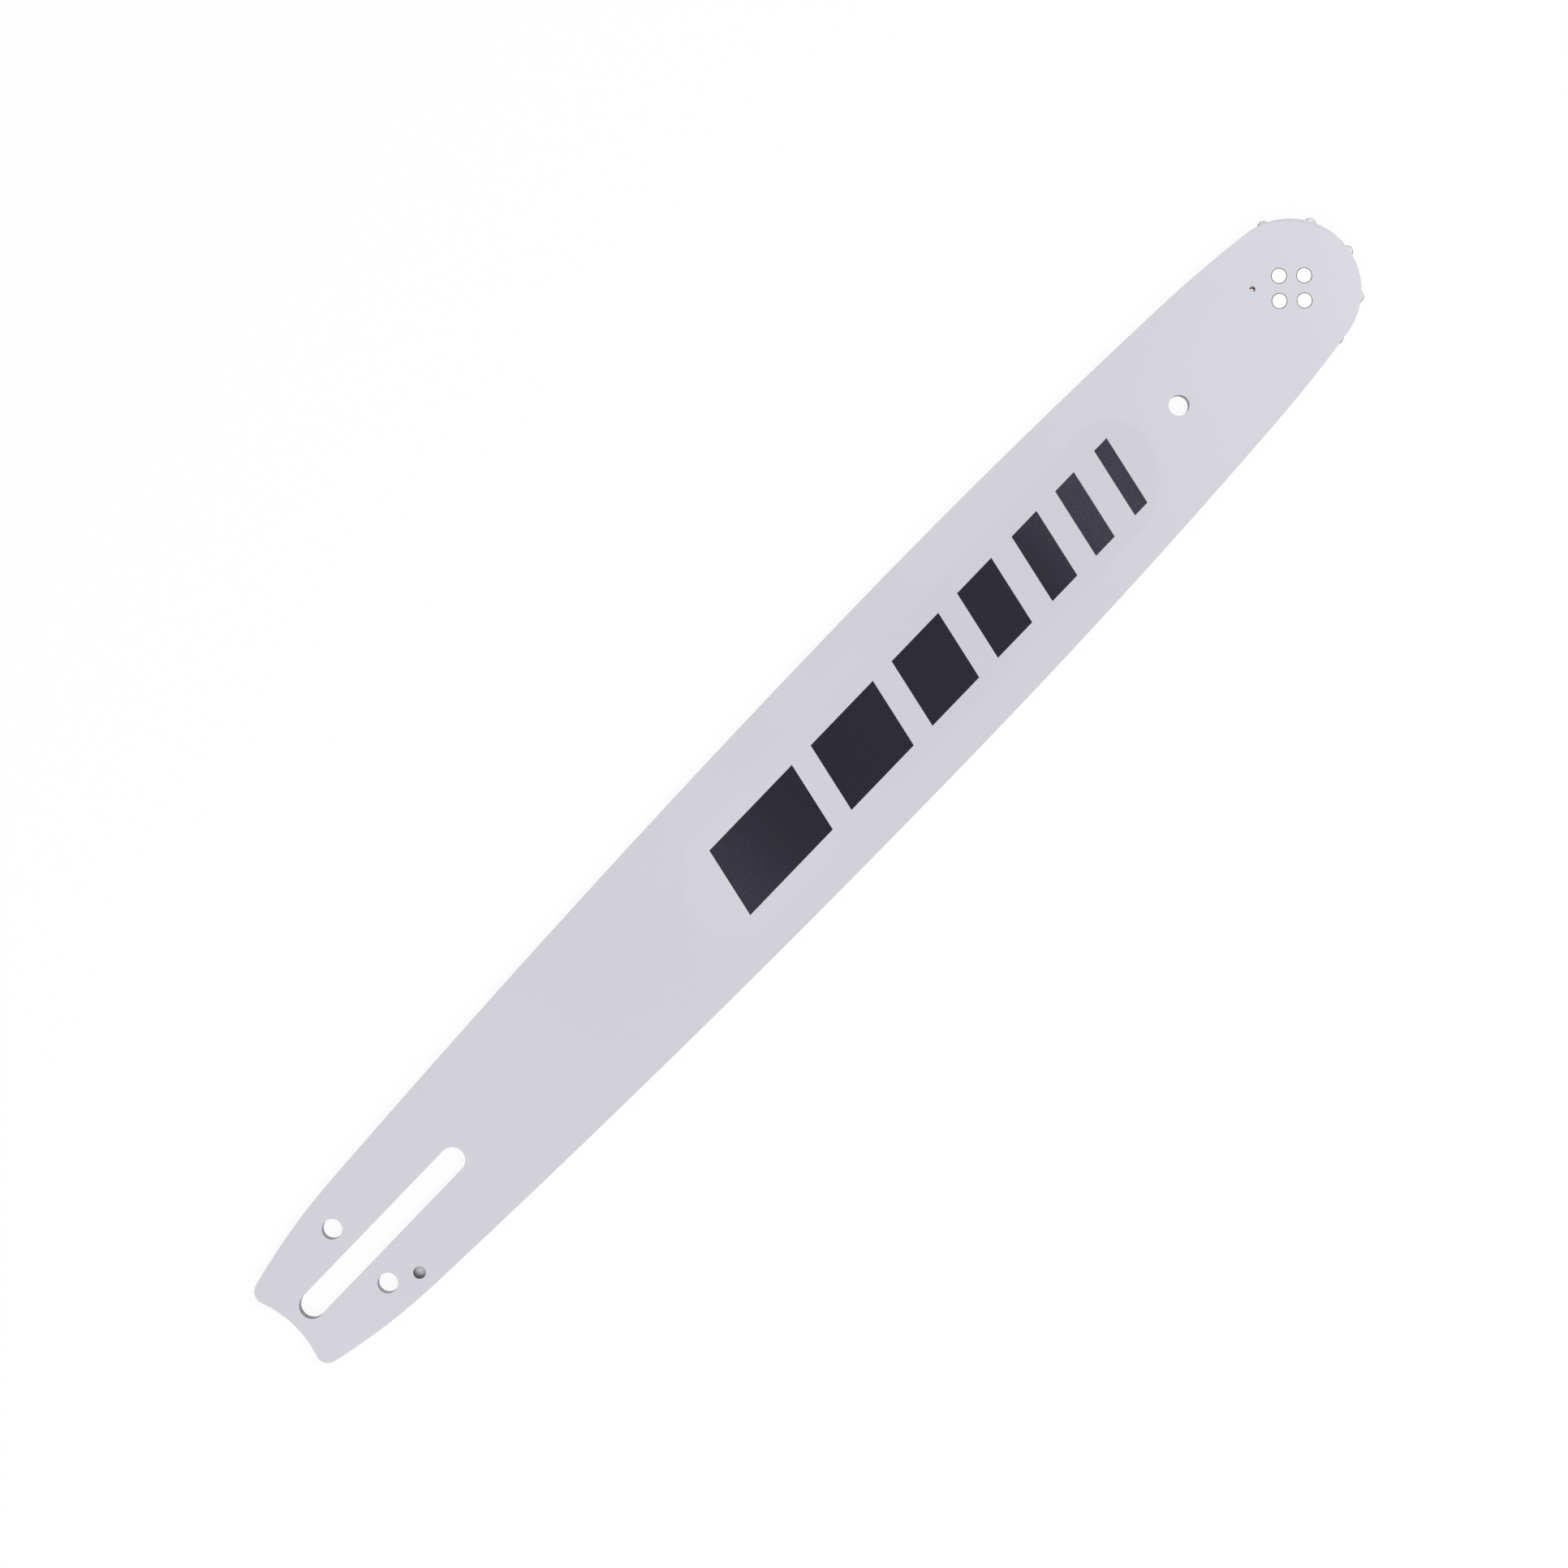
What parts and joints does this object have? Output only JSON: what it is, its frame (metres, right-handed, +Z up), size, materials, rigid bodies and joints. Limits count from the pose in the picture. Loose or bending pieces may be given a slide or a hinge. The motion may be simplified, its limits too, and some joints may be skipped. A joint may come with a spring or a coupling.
{
  "type": "chainsaw guide bar",
  "caption": "Flat steel bar with a chain groove round its edge, a stud slot and tensioner holes at the tail, and a toothed sprocket on rollers in its round nose.",
  "frame": {"origin": "middle of the stud slot, on the lower face that the bar lies on", "axes": "+X along the bar towards the nose, +Y across it, +Z up through its thickness out of the front face"},
  "size_m": [0.478, 0.059, 0.004],
  "materials": {
    "painted_plate": "smooth pale grey paint, satin",
    "core_steel": "bare rolled steel",
    "sprocket_steel": "bright ground steel",
    "bearing_steel": "polished hardened steel",
    "rivet_steel": "bright steel, ground flush"
  },
  "bodies": {
    "bar": {"side_plate_front": "painted_plate", "side_plate_back": "painted_plate", "core_plate": "core_steel", "bearing_race": "bearing_steel", "rivets": "rivet_steel"},
    "sprocket": {"nose_sprocket": "sprocket_steel"},
    "roller_ring": {"roller_01": "bearing_steel", "roller_02": "bearing_steel", "roller_03": "bearing_steel", "roller_04": "bearing_steel", "roller_05": "bearing_steel", "roller_06": "bearing_steel", "roller_07": "bearing_steel", "roller_08": "bearing_steel", "roller_09": "bearing_steel", "roller_10": "bearing_steel", "roller_11": "bearing_steel", "roller_12": "bearing_steel", "roller_13": "bearing_steel", "roller_14": "bearing_steel", "roller_15": "bearing_steel", "roller_16": "bearing_steel", "roller_17": "bearing_steel", "roller_18": "bearing_steel", "roller_19": "bearing_steel", "roller_20": "bearing_steel", "roller_21": "bearing_steel", "roller_22": "bearing_steel", "roller_23": "bearing_steel", "roller_24": "bearing_steel", "roller_25": "bearing_steel"}
  },
  "joints": [
    {"name": "sprocket_spin", "type": "hinge", "parent": "bar", "child": "sprocket", "pos_m": [0.4129, 0, 0.002], "axis": [0, 0, 1], "continuous": true},
    {"name": "roller_ring_turn", "type": "hinge", "parent": "bar", "child": "roller_ring", "pos_m": [0.4129, 0, 0.002], "axis": [0, 0, 1], "continuous": true}
  ],
  "couplings": [
    {"joint": "roller_ring_turn", "follows": "sprocket_spin", "ratio": 0.56225}
  ]
}
